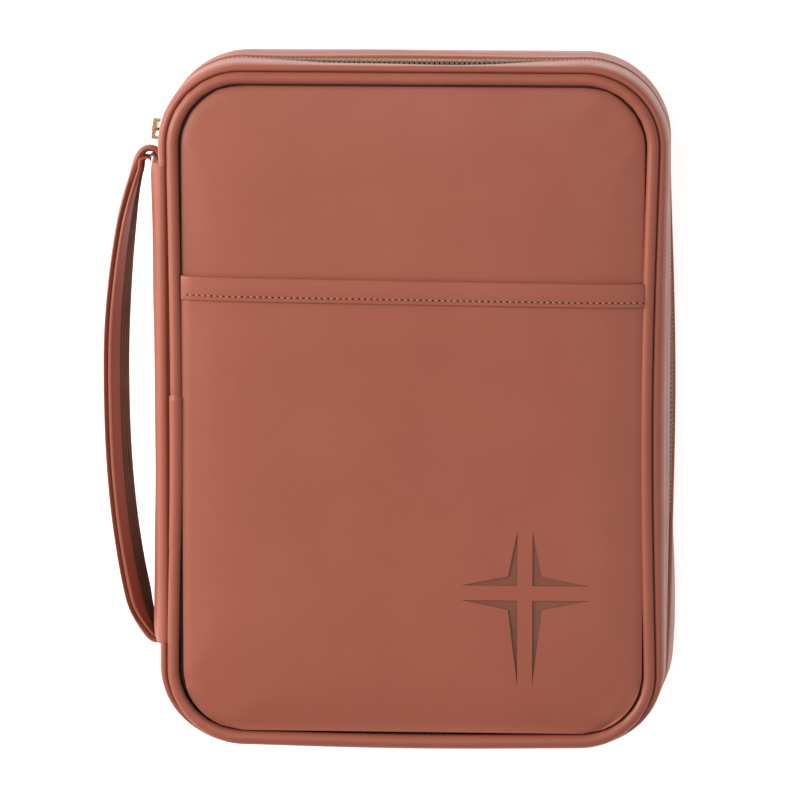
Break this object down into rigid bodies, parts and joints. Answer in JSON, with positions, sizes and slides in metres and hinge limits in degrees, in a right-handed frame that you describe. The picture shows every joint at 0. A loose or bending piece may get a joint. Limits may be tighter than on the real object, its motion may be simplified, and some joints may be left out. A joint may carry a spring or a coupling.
{
  "type": "zip-around bible cover",
  "caption": "Padded leatherette bible cover with piped edges, a zip round three sides, a front pocket with a pressed cross and a carrying handle on the spine, with a plain bible inside.",
  "frame": {"origin": "middle of the back panel's outer face, which the cover lies on", "axes": "+Z from the back panel to the front panel, +Y to the head, +X to the fore edge, so the spine and the handle are at -X"},
  "size_m": [0.2165, 0.267, 0.052],
  "materials": {
    "leatherette": "satin",
    "handle_lining": "matte",
    "foam": "matte",
    "board": "matte",
    "lining": "matte",
    "zipper_tape": "matte",
    "zipper_teeth": "satin",
    "brass": "polished",
    "bible_leather": "satin",
    "paper": "matte",
    "ribbon": "satin"
  },
  "bodies": {
    "back_cover": {"back_outer_panel": "leatherette", "back_foam_pad": "foam", "back_board": "board", "back_lining": "lining", "back_sleeve": "lining", "back_piping": "leatherette", "back_gusset": "leatherette", "zipper_tape_back": "zipper_tape", "zipper_teeth_back": "zipper_teeth", "zipper_stop_upper": "brass", "zipper_stop_lower": "brass", "bible_back_cover": "bible_leather", "bible_spine": "bible_leather", "page_block_back": "paper", "page_block_front": "paper", "ribbon_marker": "ribbon", "bible_headband_upper": "ribbon", "bible_headband_lower": "ribbon"},
    "spine": {"spine_outer_panel": "leatherette", "spine_board": "board", "spine_lining": "lining", "handle_root_upper": "leatherette", "handle_root_lower": "leatherette"},
    "front_cover": {"front_outer_panel": "leatherette", "pocket_panel": "leatherette", "pocket_hem": "leatherette", "front_foam_pad": "foam", "front_board": "board", "front_lining": "lining", "front_sleeve": "lining", "front_piping": "leatherette", "front_gusset": "leatherette", "zipper_tape_front": "zipper_tape", "zipper_teeth_front": "zipper_teeth"},
    "handle": {"handle_outer_ply": "leatherette", "handle_core": "foam", "handle_inner_ply": "handle_lining"},
    "zipper_slider": {"slider_body": "brass", "slider_bridge": "brass"},
    "zipper_pull": {"pull_ring": "brass", "pull_tab": "brass"},
    "bible_front": {"bible_front_cover": "bible_leather", "bible_front_endpaper": "paper"}
  },
  "joints": [
    {"name": "spine_fold", "type": "hinge", "parent": "back_cover", "child": "spine", "pos_m": [-0.097, 0, 0.0062], "axis": [0, -1, 0], "range_deg": [0, 90]},
    {"name": "front_fold", "type": "hinge", "parent": "spine", "child": "front_cover", "pos_m": [-0.097, 0, 0.0458], "axis": [0, -1, 0], "range_deg": [0, 90]},
    {"name": "bible_cover_open", "type": "hinge", "parent": "back_cover", "child": "bible_front", "pos_m": [-0.0843, 0, 0.03935], "axis": [0, -1, 0], "range_deg": [0, 189]},
    {"name": "handle_swing", "type": "hinge", "parent": "spine", "child": "handle", "pos_m": [-0.1042, 0, 0.026], "axis": [0, 1, 0], "range_deg": [-50, 50]},
    {"name": "slider_travel", "type": "hinge", "parent": "back_cover", "child": "zipper_slider", "pos_m": [-0.064, 0.1005, 0.026], "axis": [0, 0, -1], "range_deg": [0, 70]},
    {"name": "pull_swing", "type": "hinge", "parent": "zipper_slider", "child": "zipper_pull", "pos_m": [-0.09952, 0.10455, 0.026], "axis": [0.1132, 0.9936, 0], "range_deg": [0, 100]}
  ],
  "couplings": [
    {"joint": "front_fold", "follows": "spine_fold", "ratio": 1},
    {"joint": "bible_cover_open", "follows": "spine_fold", "ratio": 2.1}
  ]
}
